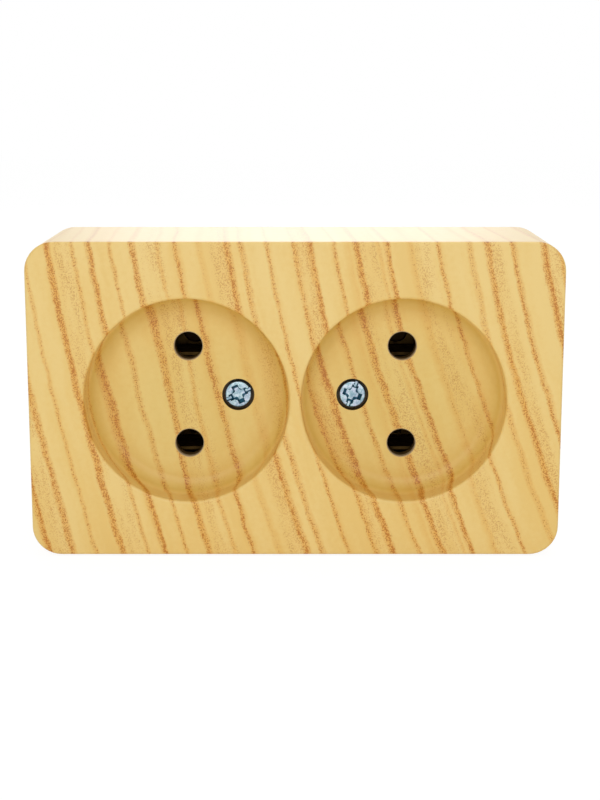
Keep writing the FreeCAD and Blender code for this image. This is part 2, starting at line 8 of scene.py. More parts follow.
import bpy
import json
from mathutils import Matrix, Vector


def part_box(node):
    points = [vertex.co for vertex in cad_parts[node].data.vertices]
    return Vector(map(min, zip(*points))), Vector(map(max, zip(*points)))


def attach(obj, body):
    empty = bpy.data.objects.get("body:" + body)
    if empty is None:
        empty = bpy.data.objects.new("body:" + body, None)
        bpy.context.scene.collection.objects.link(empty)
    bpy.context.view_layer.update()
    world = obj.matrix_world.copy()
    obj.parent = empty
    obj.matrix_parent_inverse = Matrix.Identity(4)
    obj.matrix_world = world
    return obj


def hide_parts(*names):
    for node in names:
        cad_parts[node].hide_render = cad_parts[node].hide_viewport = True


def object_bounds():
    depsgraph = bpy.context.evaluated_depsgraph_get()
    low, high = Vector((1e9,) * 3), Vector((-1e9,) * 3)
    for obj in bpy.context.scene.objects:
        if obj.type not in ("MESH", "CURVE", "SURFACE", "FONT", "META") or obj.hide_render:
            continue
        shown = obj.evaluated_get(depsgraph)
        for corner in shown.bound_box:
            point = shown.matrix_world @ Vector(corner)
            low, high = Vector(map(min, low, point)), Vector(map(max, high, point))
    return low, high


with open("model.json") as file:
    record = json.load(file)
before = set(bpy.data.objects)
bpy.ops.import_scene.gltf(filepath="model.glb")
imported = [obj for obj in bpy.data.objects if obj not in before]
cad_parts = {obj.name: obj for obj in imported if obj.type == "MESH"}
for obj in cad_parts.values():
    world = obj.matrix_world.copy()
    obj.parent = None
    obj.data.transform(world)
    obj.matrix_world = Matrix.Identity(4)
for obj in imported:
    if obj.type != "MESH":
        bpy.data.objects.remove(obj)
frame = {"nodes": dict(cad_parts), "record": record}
CAD_LOW, CAD_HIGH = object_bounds()
print("construction, millimetres:", [round((b - a) * 1000, 2) for a, b in zip(CAD_LOW, CAD_HIGH)])

# %% Modules and the unit
import json
import math

import bmesh
import bpy
from mathutils import Matrix, Vector

MM = 0.001  # one millimetre in the scene's metres

# %% [markdown]
# Where things are
#
# Every height below is a level: how far a point stands off the wall, so Y is the level with its
# sign turned. What fits to the construction is read from it: the pin holes from their mounts, and
# the screws from their boxes.

# %% Read the places of the holes and screws
pin_mounts = [m for m in frame["record"]["mounts"] if m["name"].endswith("_pin_entry")]
WELL_PLACE = max(m["pos_m"][0] for m in pin_mounts) / MM
PIN_PLACE = max(m["pos_m"][2] for m in pin_mounts) / MM
PIN_HOLE_RADIUS = pin_mounts[0]["dims"]["r_mm"]


def middle(node):
    """The centre of a node's box, in millimetres."""
    low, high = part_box(node)
    return (Vector(low) + Vector(high)) / 2 / MM


SCREW_PLACE = middle("cover_screw_right").x
DEPTH = -CAD_LOW.y / MM
REAR_WIDTH = (CAD_HIGH.x - CAD_LOW.x) / MM
REAR_HEIGHT = (CAD_HIGH.z - CAD_LOW.z) / MM
print("wells", WELL_PLACE, "pins", PIN_PLACE, "screws", round(SCREW_PLACE, 3), "depth", DEPTH)

# %% Name the cover's sizes in millimetres
COVER_LIFT = 0.3
DRAFT = math.tan(math.radians(0.6))
CORNER = 5.5
FRONT_ROUNDING = 0.5
FRONT_WIDTH = REAR_WIDTH - 2 * (DEPTH - COVER_LIFT) * DRAFT
FRONT_HEIGHT = REAR_HEIGHT - 2 * (DEPTH - COVER_LIFT) * DRAFT
SIDE_WALL = 2.0
FRONT_WALL = 2.2
WELL_RADIUS = 19.4
WELL_DEPTH = 7.0
WELL_RIM_ROUNDING = 0.5
WELL_FLOOR_ROUNDING = 3.0
WELL_TAPER = math.tan(math.radians(1.5))
FLOOR_EDGE = WELL_RADIUS - WELL_FLOOR_ROUNDING
WELL_FLOOR = DEPTH - WELL_DEPTH
FLOOR_BACK = WELL_FLOOR - 2.0
CUP_WALL = 1.8
HEAD_RECESS_RADIUS = 3.1
HEAD_SEAT = WELL_FLOOR - 2.4
SCREW_HOLE_RADIUS = 1.7
print("front", round(FRONT_WIDTH, 2), "by", round(FRONT_HEIGHT, 2), "well floor at", WELL_FLOOR)

# %% [markdown]
# The camera
#
# A pinhole camera was fitted to the photograph, with the pin distance of 19 mm as its scale. It
# stands about 290 mm in front of the socket and looks 11 degrees down. The photograph is upright,
# so the sensor's 36 mm lie along its long side.

# %% Set up the camera
CAMERA_PLACE = Vector((0.9, -317.7, 55.8)) * MM
CAMERA_TARGET = Vector((0.9, -31.0, 0.27)) * MM
CAMERA_LENS = 69.75

camera_data = bpy.data.cameras.new("camera")
camera_data.lens = CAMERA_LENS
camera_data.clip_start = 0.01
camera = bpy.data.objects.new("camera", camera_data)
camera.location = CAMERA_PLACE
camera.rotation_euler = (CAMERA_TARGET - CAMERA_PLACE).to_track_quat("-Z", "Y").to_euler()
bpy.context.collection.objects.link(camera)
bpy.context.scene.camera = camera
print("camera distance", round((CAMERA_TARGET - CAMERA_PLACE).length / MM, 1), "mm")

# %% [markdown]
# Arithmetic with sockets
#
# A finish is a network of nodes. Written as Python expressions it stays readable: a Signal stands
# for one output socket, and adding or multiplying signals adds the Math nodes that do it.


# %% A signal and a finish
class Signal:
    """One output socket of a material, ready for arithmetic."""

    def __init__(self, finish, socket):
        self.finish = finish
        self.socket = socket

    def maths(self, operation, *others):
        return self.finish.maths(operation, self, *others)

    def __add__(self, other):
        return self.maths("ADD", other)

    def __sub__(self, other):
        return self.maths("SUBTRACT", other)

    def __rsub__(self, other):
        return self.finish.maths("SUBTRACT", other, self)

    def __mul__(self, other):
        return self.maths("MULTIPLY", other)

    def __truediv__(self, other):
        return self.maths("DIVIDE", other)

    __radd__ = __add__
    __rmul__ = __mul__


class Finish:
    """A material whose nodes are added one by one round its Principled shader."""

    def __init__(self, name):
        self.material = bpy.data.materials.new(name)
        self.material.use_nodes = True
        self.tree = self.material.node_tree
        self.shader = self.tree.nodes["Principled BSDF"]

    def node(self, kind, settings=None, inputs=None, output=0):
        """Add a node: its settings first, then the values or signals of its sockets."""
        node = self.tree.nodes.new(kind)
        for name, value in (settings or {}).items():
            if name == "stops":
                self.set_stops(node.color_ramp, value)
            else:
                setattr(node, name, value)
        for name, value in (inputs or {}).items():
            self.feed(node.inputs[name], value)
        return Signal(self, node.outputs[output])

    def feed(self, socket, value):
        if isinstance(value, Signal):
            self.tree.links.new(value.socket, socket)
        else:
            socket.default_value = value

    def set_stops(self, ramp, stops):
        """Stops are pairs of a place from 0 to 1 and a grey or a colour."""
        while len(ramp.elements) < len(stops):
            ramp.elements.new(1.0)
        for element, (place, value) in zip(ramp.elements, stops):
            element.position = place
            element.color = value if isinstance(value, tuple) else (value, value, value, 1.0)

    def maths(self, operation, *values):
        return self.node("ShaderNodeMath", {"operation": operation}, dict(enumerate(values)))

    def mix(self, factor, first, second, blend="MIX"):
        """A colour that goes from the first to the second as the factor goes from 0 to 1."""
        settings = {"data_type": "RGBA", "blend_type": blend}
        return self.node("ShaderNodeMix", settings, {0: factor, 6: first, 7: second}, 2)

    def step(self, value, low, high):
        """A smooth rise from 0 at the low value to 1 at the high one."""
        settings = {"interpolation_type": "SMOOTHSTEP"}
        inputs = {"Value": value, "From Min": low, "From Max": high}
        return self.node("ShaderNodeMapRange", settings, inputs)

    def place_in_mm(self):
        """The surface's own coordinates in millimetres, as a vector signal."""
        metres = self.node("ShaderNodeTexCoord", output="Object")
        inputs = {"Vector": metres, "Scale": 1 / MM}
        return self.node("ShaderNodeVectorMath", {"operation": "SCALE"}, inputs)

    def split(self, vector):
        parts = self.node("ShaderNodeSeparateXYZ", inputs={"Vector": vector})
        outputs = parts.socket.node.outputs
        return [Signal(self, outputs[letter]) for letter in "XYZ"]

    def vector(self, x, y, z):
        return self.node("ShaderNodeCombineXYZ", inputs={"X": x, "Y": y, "Z": z})

    def noise(self, vector, scale, detail=2.0, roughness=0.5):
        """Smooth noise about 0.5; the scale is in cells a millimetre."""
        inputs = {"Vector": vector, "Scale": scale, "Detail": detail, "Roughness": roughness}
        return self.node("ShaderNodeTexNoise", inputs=inputs)

    def bump(self, height, depth_mm, strength=1.0):
        inputs = {"Height": height, "Distance": depth_mm * MM, "Strength": strength}
        return self.node("ShaderNodeBump", inputs=inputs)

    def surface(self, **values):
        """Set or link the shader's sockets; an underscore in a name stands for a space."""
        for name, value in values.items():
            self.feed(self.shader.inputs[name.replace("_", " ")], value)
        return self.material


def paint(red, green, blue):
    """A colour given as it looks on a screen, from 0 to 255, as the linear one a shader takes."""
    linear = []
    for part in (red / 255, green / 255, blue / 255):
        linear.append(part / 12.92 if part <= 0.04045 else ((part + 0.055) / 1.055) ** 2.4)
    return (*linear, 1.0)


# %% [markdown]
# The printed wood
#
# The cover is pale plastic with a wood grain printed on a film that was laid over it. The grain is
# a fan of slanting lines, so a point's place across the lines decides its colour. A picture could be
# laid on instead, but a fan of lines stays sharp at any size. Each line has its own place, width and
# strength, like the lines of an ash board, and noise frays its edges. Broad stained bands of fine
# flecks lie between the lines. In the wells the film was stretched: the grain is magnified there,
# bends on the walls and has slid a little on the left floor.

# %% The lines of the grain
GRAIN_LEAN = 0.18  # millimetres across for each one down, at the upper edge
GRAIN_BEND = 0.0015  # how much the lean grows on the way down
FAN_LEAN = 0.0005  # how much more the lines to the right lean
FAN_BEND = 0.00001  # how much more the lines to the right bend
GRAIN_REACH = 70.0  # the lines lie within this distance of the middle

# place across at the upper edge, width in millimetres, strength from 0 to 1
GRAIN_LINES = (
    (-66.0, 1.4, 0.7), (-62.6, 1.0, 0.5), (-59.2, 1.5, 1.0), (-55.0, 1.3, 0.9), (-51.0, 1.0, 0.45),
    (-46.2, 1.5, 1.0), (-41.6, 1.1, 0.5), (-38.4, 1.5, 1.0), (-34.4, 1.0, 0.5), (-30.4, 1.4, 0.9),
    (-25.8, 1.0, 0.4), (-22.4, 1.5, 0.85), (-17.8, 1.0, 0.4), (-13.0, 1.7, 0.85), (-10.2, 1.3, 0.65),
    (-5.4, 1.3, 0.65), (-0.5, 1.5, 0.65), (2.6, 1.7, 1.0), (7.0, 1.2, 0.65), (9.6, 0.9, 0.35),
    (11.3, 1.6, 0.9), (15.2, 1.0, 0.3), (16.8, 1.4, 0.95), (21.1, 1.0, 0.45), (26.3, 1.3, 0.7),
    (32.0, 1.2, 0.5), (35.4, 1.6, 0.85), (40.0, 1.5, 0.8), (45.8, 1.7, 1.0), (48.6, 1.2, 0.6),
    (54.2, 1.4, 0.8), (59.6, 1.2, 0.6), (65.4, 1.4, 0.8),
)
# broad stained bands between or beside the lines, written in the same way
GRAIN_BANDS = (
    (-57.0, 6.0, 0.35), (-43.6, 5.5, 0.35), (-27.0, 7.5, 0.45), (-14.4, 5.5, 0.55), (1.2, 6.0, 0.8),
    (13.2, 6.0, 0.4), (23.2, 6.5, 0.3), (36.4, 5.5, 0.45), (46.8, 6.0, 0.6), (62.0, 7.0, 0.4),
)
LINES_A_RAMP = 8  # a ramp holds 32 stops, four for each line
FOOT = 0.4  # a line fades to nothing at this share of its width from its middle
CREST = 0.12  # and is at full strength up to this share


def line_stops(lines):
    """Ramp stops that rise to each line's strength and fall again at its edges."""
    stops = []
    for place, width, strength in lines:
        for share, value in ((-FOOT, 0.0), (-CREST, strength), (CREST, strength), (FOOT, 0.0)):
            stops.append(((place + share * width) / (2 * GRAIN_REACH) + 0.5, value))
    return stops


def grain_field(finish, across, lines):
    """How strongly the lines colour a point, from its place across them."""
    factor = across / (2 * GRAIN_REACH) + 0.5
    total = 0.0
    for first in range(0, len(lines), LINES_A_RAMP):
        settings = {"stops": line_stops(lines[first : first + LINES_A_RAMP])}
        total = finish.node("ShaderNodeValToRGB", settings, {"Fac": factor}) + total
    return total


print(len(GRAIN_LINES), "lines and", len(GRAIN_BANDS), "bands")


# %% From the surface to the film
# how a well shrinks the film's pattern back to size, across and down, and moves it across:
# the mean of both wells, and what the right one has more and the left one less
WELL_SHARE_ACROSS = (0.75, 0.083)
WELL_SHARE_DOWN = (0.857, 0.143)
WELL_SHIFT = (-0.7, 1.0)
LEFT_SLIP = 2.3  # how far the film slid over the middle of the left well's floor
SLIP_SPAN = (-5.0, 3.4)  # where it slid, from the well's axis
TOP_WRAP = 0.05  # how much the lines lean on the long sides
END_WRAP = 0.9  # how much of the film's depth the ends show

# where one part of the surface blends into the next, in millimetres
BEYOND_WELL = (WELL_RADIUS + 0.7, WELL_RADIUS + 1.0)
STEEP_WALL = (FLOOR_EDGE + 2.2, FLOOR_EDGE + 2.9)
ROUNDING = (FLOOR_EDGE - 3.0, FLOOR_EDGE + 1.5)
OVER_EDGE = (0.4, 2.0)


def film_place(finish):
    """Where a point of the cover lay on the flat film, in millimetres, and what part it is on."""
    x, y, z = finish.split(finish.place_in_mm())
    side = finish.maths("SIGN", x)
    from_well = x - side * WELL_PLACE
    radius = finish.maths("SQRT", from_well * from_well + z * z)
    in_well = 1 - finish.step(radius, *BEYOND_WELL)
    behind = y + DEPTH
    sunk = finish.step(behind, 0.0, WELL_DEPTH) * in_well
    across, down, shift = [
        mean + side * more for mean, more in (WELL_SHARE_ACROSS, WELL_SHARE_DOWN, WELL_SHIFT)
    ]
    slip = (1 - side) / 2 * finish.step(from_well, *SLIP_SPAN) * LEFT_SLIP
    film_x = x + sunk * (shift + slip - from_well * (1 - across))
    film_z = z - sunk * z * (1 - down)
    at_end = finish.step(finish.maths("ABSOLUTE", x), FRONT_WIDTH / 2 - CORNER, FRONT_WIDTH / 2)
    wrapped = behind * (1 - in_well) * (TOP_WRAP + side * at_end * END_WRAP)
    on_side = finish.step(behind, *OVER_EDGE) * (1 - in_well)
    inside = in_well * (1 - finish.step(radius, *STEEP_WALL))
    on_floor = sunk * inside
    on_rounding = finish.step(radius, *ROUNDING) * inside
    return film_x + wrapped, film_z, behind, on_floor, on_rounding, on_side


# %% The printed finish
PALE_WOOD = paint(245, 212, 132)
DARK_WOOD = paint(241, 203, 117)
STAINED_WOOD = paint(235, 184, 92)
HALO_ORANGE = paint(231, 161, 34)
LINE_BROWN = paint(188, 108, 0)
WELL_FILM_AND_SHADE = (0.92, 0.94, 0.83, 1.0)  # the stretched film on a well's floor, darkened further with painted shade
ROUNDING_SHADE = (0.92, 0.86, 0.68, 1.0)  # painted shade over the rounding round the floor
# a cream laid over the top, bottom and ends: painted light
EDGE_PAINTED_LIGHT = paint(255, 243, 212)
SIDE_PAINTED_WASHOUT = 0.55  # how much fainter the lines are on the top, bottom and ends: painted light that washes the print out


def make_print():
    finish = Finish("wood_print")
    place = finish.place_in_mm()
    film_x, film_z, behind, on_floor, on_rounding, on_side = film_place(finish)
    along = finish.vector(film_x, behind * 0.3, film_z)
    drift = (finish.noise(along, 0.045, 1.0) - 0.5) * 0.8
    waver = (finish.noise(along, 0.22, 2.0) - 0.5) * 1.0
    fray = (finish.noise(place, 1.8, 3.0, 0.7) - 0.5) * 0.8
    fall = FRONT_HEIGHT / 2 - film_z
    bend = fall * fall
    leaning = film_x - fall * GRAIN_LEAN - bend * GRAIN_BEND + drift + waver
    across = leaning / (1 + fall * FAN_LEAN + bend * FAN_BEND)

    # Painted light: the lines fade on the top, bottom and ends.
    paler = 1 - on_side * SIDE_PAINTED_WASHOUT
    lines = grain_field(finish, across + fray, GRAIN_LINES) * paler
    bands = grain_field(finish, across + fray * 2, GRAIN_BANDS) * paler
    lengthwise = finish.vector(across * 0.4, 0.0, film_z * 0.07)
    strength = finish.step(finish.noise(lengthwise, 1.0, 2.0), 0.3, 0.6)
    dots = finish.noise(place, 4.2, 1.0, 0.5)
    clumps = finish.noise(place, 1.1, 2.0)
    broad = finish.noise(finish.vector(across * 0.16, 0.0, film_z * 0.02), 1.0, 3.0)

    mottled = broad + (clumps - 0.5) * 0.3 + (strength - 0.5) * 0.08
    ground = finish.mix(finish.step(mottled, 0.32, 0.7), PALE_WOOD, DARK_WOOD)
    stained = finish.mix(bands * strength * finish.step(dots, 0.35, 0.62) * 0.8, ground, STAINED_WOOD)
    halo = finish.maths("POWER", lines, 0.65)
    haloed = finish.mix(halo * (clumps * 0.6 + 0.4), stained, HALO_ORANGE)
    on_line = finish.step(lines, 0.05, 0.35)
    inked = finish.step(dots + lines * (strength * 0.1 + clumps * 0.34), 0.6, 0.78) * on_line * 0.85
    in_band = finish.step(bands, 0.02, 0.3) * strength
    stippled = finish.step(dots + in_band * (clumps * 0.24), 0.6, 0.78) * (in_band * 0.42 + 0.05)
    colour = finish.mix(finish.maths("MAXIMUM", inked, stippled), haloed, LINE_BROWN)
    # Painted shade darkens the wells' floors, together with the warmer stretched film.
    colour = finish.mix(on_floor, colour, WELL_FILM_AND_SHADE, "MULTIPLY")
    # Painted shade where the floor rounds into the wall.
    colour = finish.mix(on_rounding, colour, ROUNDING_SHADE, "MULTIPLY")
    # Painted light pales the top, bottom and ends towards cream.
    colour = finish.mix(on_side * 0.2, colour, EDGE_PAINTED_LIGHT)

    peel = finish.noise(place, 0.9, 2.0)
    relief = finish.bump(peel + lines * 0.3, 0.012)
    rough = 0.38 + finish.noise(place, 0.5, 2.0) * 0.12
    return finish.surface(
        Base_Color=colour,
        Roughness=rough,
        Normal=relief,
        Coat_Weight=on_side * 0.4 + 0.15,
        Coat_Roughness=0.3,
    )


wood_print = make_print()
print(wood_print.name, len(wood_print.node_tree.nodes), "nodes")

# %% [markdown]
# Bare plastic, dark moulding and metals
#
# Behind the film the cover is bare beige plastic. The base is dark brown moulding with a faint
# mottle. The metals differ in colour and in the direction of their fine marks: rolled strip is
# drawn along its length, the screws are bright zinc, and the rivets are bright only at the wall.
# Some colours are painted shade: a dark plastic in the screw recesses and deep in the pin holes,
# the strip brass dimmed for the jaws inside the holes, and the rivets' tarnish away from the wall.


# %% Plastics
def make_light_plastic(name, pale, deep):
    finish = Finish(name)
    place = finish.place_in_mm()
    colour = finish.mix(finish.noise(place, 0.25, 3.0), pale, deep)
    grains = finish.noise(place, 6.0, 2.0)
    return finish.surface(
        Base_Color=colour, Roughness=0.42 + grains * 0.12, Normal=finish.bump(grains, 0.01)
    )


def make_dark_moulding():
    finish = Finish("dark_moulding")
    place = finish.place_in_mm()
    mottle = finish.step(finish.noise(place, 0.5, 4.0, 0.65), 0.35, 0.7)
    colour = finish.mix(mottle, paint(30, 20, 16), paint(48, 32, 25))
    grains = finish.noise(place, 4.0, 3.0)
    flow = finish.noise(place, 0.12, 2.0)
    return finish.surface(
        Base_Color=colour, Roughness=0.3 + grains * 0.2 + flow * 0.1, Normal=finish.bump(grains, 0.015)
    )


# %% Metals
INSIDE_LEVELS = (1.5, 2.5)  # the rivets' tarnish and painted shade set in between these levels
# the rivets' colour away from the wall: tarnish, darkened further as painted shade
RIVET_TARNISH_AND_SHADE = paint(44, 32, 18)


def make_metal(name, bright, dull, stretch, rough, inside=None):
    """A metal with fine marks drawn out along one direction and a cloudy tarnish.

    Where an inside colour is given, it takes over away from the wall, behind the cover.
    """
    finish = Finish(name)
    x, y, z = finish.split(finish.place_in_mm())
    drawn = finish.vector(x * stretch[0], y * stretch[1], z * stretch[2])
    marks = finish.noise(drawn, 4.0, 3.0, 0.6)
    tarnish = finish.step(finish.noise(finish.place_in_mm(), 0.35, 3.0), 0.35, 0.75)
    colour = finish.mix(tarnish, bright, dull)
    if inside:
        # Away from the wall the inside colour takes over: on the rivets, tarnish and painted shade.
        colour = finish.mix(finish.step(0 - y, *INSIDE_LEVELS), colour, inside)
    return finish.surface(
        Base_Color=colour,
        Metallic=1.0,
        Roughness=rough + marks * 0.15 + tarnish * 0.12,
        Normal=finish.bump(marks, 0.006),
    )


bare_plastic = make_light_plastic("bare_plastic", paint(198, 176, 138), paint(178, 156, 120))
# A dark plastic: painted shade for the screw recesses and for the pin holes further in.
grimy_plastic = make_light_plastic("grimy_plastic", paint(112, 84, 38), paint(74, 54, 22))
dark_moulding = make_dark_moulding()
# Dull, tarnished brass, darkened further as painted shade for the jaws seen inside the pin holes.
strip_brass = make_metal("strip_brass", paint(104, 80, 40), paint(58, 42, 22), (0.06, 1, 1), 0.38)
rivet_brass = make_metal(
    "rivet_brass", paint(196, 156, 88), paint(134, 96, 50), (1, 1, 1), 0.3, RIVET_TARNISH_AND_SHADE
)
blued_steel = make_metal("blued_steel", paint(88, 92, 106), paint(52, 50, 58), (0.3, 1, 0.3), 0.32)
zinc = make_metal("zinc", paint(214, 226, 236), paint(176, 192, 206), (1, 0.3, 1), 0.22)

NODE_FINISHES = {
    "base": dark_moulding,
    "bus_bar": strip_brass,
    "jaw_left": strip_brass,
    "jaw_right": strip_brass,
    "jaw_spring": blued_steel,
    "rivet": rivet_brass,
    "terminal": zinc,
    "clamp_plate": zinc,
    "cover_nut": zinc,
}
for name, node in frame["nodes"].items():
    for start, material in NODE_FINISHES.items():
        if name.startswith(start):
            node.data.materials.clear()
            node.data.materials.append(material)
print("finished:", sum(bool(n.data.materials) for n in frame["nodes"].values()), "nodes")

# %% [markdown]
# Shapes from a few operators
#
# The cover is round wells in a box, so two helpers do most of the work. A block is a cube whose
# upright edges are bevelled and whose rear is grown by the moulding's draft. A turned wall is a
# short profile spun about a well's or a hole's axis.


# %% Helpers for points and faces
SAME_LEVEL = 0.001  # millimetres
SAME_RADIUS = 0.01
MERGE_DISTANCE = 1e-7  # metres


def at(x, level, z):
    """A point at x and z, a level off the wall, in metres."""
    return Vector((x, -level, z)) * MM


def at_level(vert, level):
    return abs(vert.co.y / MM + level) < SAME_LEVEL


def set_material(faces, index):
    for face in faces:
        face.material_index = index


def turned(mesh, profile, x, z, steps, index):
    """Spin a profile of radius and level pairs about the axis through x and z."""
    known = set(mesh.faces)
    verts = [mesh.verts.new(at(x + radius, level, z)) for radius, level in profile]
    edges = [mesh.edges.new(pair) for pair in zip(verts, verts[1:])]
    bmesh.ops.spin(
        mesh, geom=verts + edges, cent=at(x, 0, z), axis=(0, 1, 0),
        angle=math.tau, steps=steps, use_merge=True,
    )
    set_material([face for face in mesh.faces if face not in known], index)


def block(width, height, radius, front, rear, index, segments=10):
    """A box with rounded upright edges; width, height and radius are those of its front."""
    mesh = bmesh.new()
    bmesh.ops.create_cube(mesh, size=1.0)
    bmesh.ops.scale(mesh, vec=Vector((width, front - rear, height)) * MM, verts=mesh.verts)
    bmesh.ops.translate(mesh, vec=at(0, (front + rear) / 2, 0), verts=mesh.verts)
    upright = [e for e in mesh.edges if not at_level(e.verts[0], front) == at_level(e.verts[1], front)]
    bmesh.ops.bevel(
        mesh, geom=upright, offset=radius * MM, segments=segments, profile=0.5, affect="EDGES", material=-1
    )
    core = Vector((width / 2 - radius, 0, height / 2 - radius)) * MM
    grown = (front - rear) * DRAFT * MM
    for vert in mesh.verts:
        if at_level(vert, rear):
            inside_x = max(-core.x, min(core.x, vert.co.x))
            inside_z = max(-core.z, min(core.z, vert.co.z))
            away = Vector((vert.co.x - inside_x, 0, vert.co.z - inside_z)).normalized()
            vert.co += away * grown
    set_material(mesh.faces, index)
    return mesh


def ring_edges(mesh, level, x, z, radius):
    """The edges of the circle at a level about the axis through x and z."""
    centre = at(x, level, z)

    def on_ring(vert):
        return at_level(vert, level) and abs((vert.co - centre).length / MM - radius) < SAME_RADIUS

    return [edge for edge in mesh.edges if all(on_ring(vert) for vert in edge.verts)]


def fill_level(mesh, level, index):
    """Close the flat gap between the open rings that lie at a level."""
    open_edges = [e for e in mesh.edges if e.is_boundary and all(at_level(v, level) for v in e.verts)]
    filled = bmesh.ops.triangle_fill(mesh, edges=open_edges, use_beauty=True, normal=(0, -1, 0))
    set_material([part for part in filled["geom"] if isinstance(part, bmesh.types.BMFace)], index)


def to_object(mesh, name, materials):
    """Turn a bmesh into an object at the origin that wears the materials."""
    data = bpy.data.meshes.new(name)
    mesh.to_mesh(data)
    mesh.free()
    for material in materials:
        data.materials.append(material)
    piece = bpy.data.objects.new(name, data)
    bpy.context.collection.objects.link(piece)
    return piece


def combine(piece, operation, others):
    """Cut the others from a piece, or join them to it, and forget them."""
    for other in others:
        change = piece.modifiers.new("combine", "BOOLEAN")
        change.operation = operation
        change.object = other
        change.solver = "EXACT"
        bpy.context.view_layer.update()
        shaped = piece.evaluated_get(bpy.context.evaluated_depsgraph_get())
        result = bpy.data.meshes.new_from_object(shaped)
        piece.modifiers.clear()
        piece.data = result
        bpy.data.objects.remove(other)
    return piece


SHARP_ANGLE = math.radians(34)


def shade(piece):
    """Smooth faces with crisp edges where they meet at more than the sharp angle."""
    mesh = bmesh.new()
    mesh.from_mesh(piece.data)
    for face in mesh.faces:
        face.smooth = True
    for edge in mesh.edges:
        edge.smooth = len(edge.link_faces) == 2 and edge.calc_face_angle(0.0) < SHARP_ANGLE
    open_edges = sum(len(edge.link_faces) != 2 for edge in mesh.edges)
    print(piece.name, len(mesh.faces), "faces,", open_edges, "open edges")
    mesh.to_mesh(piece.data)
    mesh.free()
    weighted = piece.modifiers.new("weighted_normals", "WEIGHTED_NORMAL")
    weighted.keep_sharp = True


# %% [markdown]
# The cover's outer skin
#
# Seen from outside the cover is a block whose front edge is rounded, with two wells let into it.
# The front is taken off the block, the wells' walls are spun in the gap, and the flat parts
# between the outline and the circles are filled with triangles. The holes are blind for now: the
# hollow that is cut from behind opens them.

# %% Sizes of the skin
PRINTED = 0
# the third slot holds painted shade for the recesses and holes
BARE = 1
PAINTED_SHADE = 2
WELL_STEPS = 144
HOLE_STEPS = 48
FLANGE = WELL_RIM_ROUNDING + 0.1
FLOOR_RADIUS = WELL_RADIUS - WELL_DEPTH * WELL_TAPER
FLOOR_RING = FLOOR_RADIUS - WELL_FLOOR_ROUNDING - 0.2
MOUTH_CHAMFER = 0.15
COLLAR_LEVEL = FLOOR_BACK - 1.5
SEAT_LEVEL = FLOOR_BACK - 2.5
SHADE_START_DEPTH = 1.3  # the pin holes are painted in shade further in than this
HOLE_OVERRUN = 0.6  # how far the blind holes reach into the coming hollow


# %% The block and its wells
def outer_skin():
    mesh = block(FRONT_WIDTH, FRONT_HEIGHT, CORNER, DEPTH, COVER_LIFT, PRINTED)
    front_edge = [e for e in mesh.edges if all(at_level(v, DEPTH) for v in e.verts)]
    bmesh.ops.bevel(
        mesh, geom=front_edge, offset=FRONT_ROUNDING * MM, segments=5, profile=0.5,
        affect="EDGES", material=-1,
    )
    front = [f for f in mesh.faces if all(at_level(v, DEPTH) for v in f.verts)]
    bmesh.ops.delete(mesh, geom=front, context="FACES_ONLY")
    rear = [f for f in mesh.faces if all(at_level(v, COVER_LIFT) for v in f.verts)]
    set_material(rear, BARE)
    for side in (-1, 1):
        add_well(mesh, side)
    fill_level(mesh, DEPTH, PRINTED)
    fill_level(mesh, WELL_FLOOR, PRINTED)
    bmesh.ops.remove_doubles(mesh, verts=mesh.verts, dist=MERGE_DISTANCE)
    bmesh.ops.recalc_face_normals(mesh, faces=mesh.faces)
    return mesh


def add_well(mesh, side):
    """One well with its rounded rim and floor, its two pin holes and its screw's recess."""
    x = side * WELL_PLACE
    wall = [
        (WELL_RADIUS + FLANGE, DEPTH),
        (WELL_RADIUS, DEPTH),
        (FLOOR_RADIUS, WELL_FLOOR),
        (FLOOR_RING, WELL_FLOOR),
    ]
    turned(mesh, wall, x, 0, WELL_STEPS, PRINTED)
    for level, radius, rounding, segments in (
        (DEPTH, WELL_RADIUS, WELL_RIM_ROUNDING, 6),
        (WELL_FLOOR, FLOOR_RADIUS, WELL_FLOOR_ROUNDING, 14),
    ):
        ring = ring_edges(mesh, level, x, 0, radius)
        bmesh.ops.bevel(
            mesh, geom=ring, offset=rounding * MM, segments=segments, profile=0.5, affect="EDGES", material=-1
        )
    mouth = [
        (PIN_HOLE_RADIUS + MOUTH_CHAMFER, WELL_FLOOR),
        (PIN_HOLE_RADIUS, WELL_FLOOR - MOUTH_CHAMFER),
        (PIN_HOLE_RADIUS, WELL_FLOOR - SHADE_START_DEPTH),
    ]
    # Further in, the pin holes wear the painted shade.
    throat = [
        (PIN_HOLE_RADIUS, WELL_FLOOR - SHADE_START_DEPTH),
        (PIN_HOLE_RADIUS, COLLAR_LEVEL - HOLE_OVERRUN),
        (0, COLLAR_LEVEL - HOLE_OVERRUN),
    ]
    for row in (-1, 1):
        turned(mesh, mouth, x, row * PIN_PLACE, HOLE_STEPS, BARE)
        turned(mesh, throat, x, row * PIN_PLACE, HOLE_STEPS, PAINTED_SHADE)
    # The screw's recess wears the painted shade.
    recess = [
        (HEAD_RECESS_RADIUS, WELL_FLOOR),
        (HEAD_RECESS_RADIUS, HEAD_SEAT),
        (SCREW_HOLE_RADIUS, HEAD_SEAT),
        (SCREW_HOLE_RADIUS, SEAT_LEVEL - HOLE_OVERRUN),
        (0, SEAT_LEVEL - HOLE_OVERRUN),
    ]
    turned(mesh, recess, side * SCREW_PLACE, 0, HOLE_STEPS, PAINTED_SHADE)


cover = to_object(outer_skin(), "moulded_cover", (wood_print, bare_plastic, grimy_plastic))
print("skin:", len(cover.data.polygons), "faces")

# %% [markdown]
# The cover's hollow
#
# The inside is a second, smaller block. Cups behind the wells, collars round the pin holes, bosses
# for the screws and ribs on the walls are material that stays, so they are cut from the hollow
# before the hollow is cut from the cover. Two pockets in it thin the walls where a cable may enter.


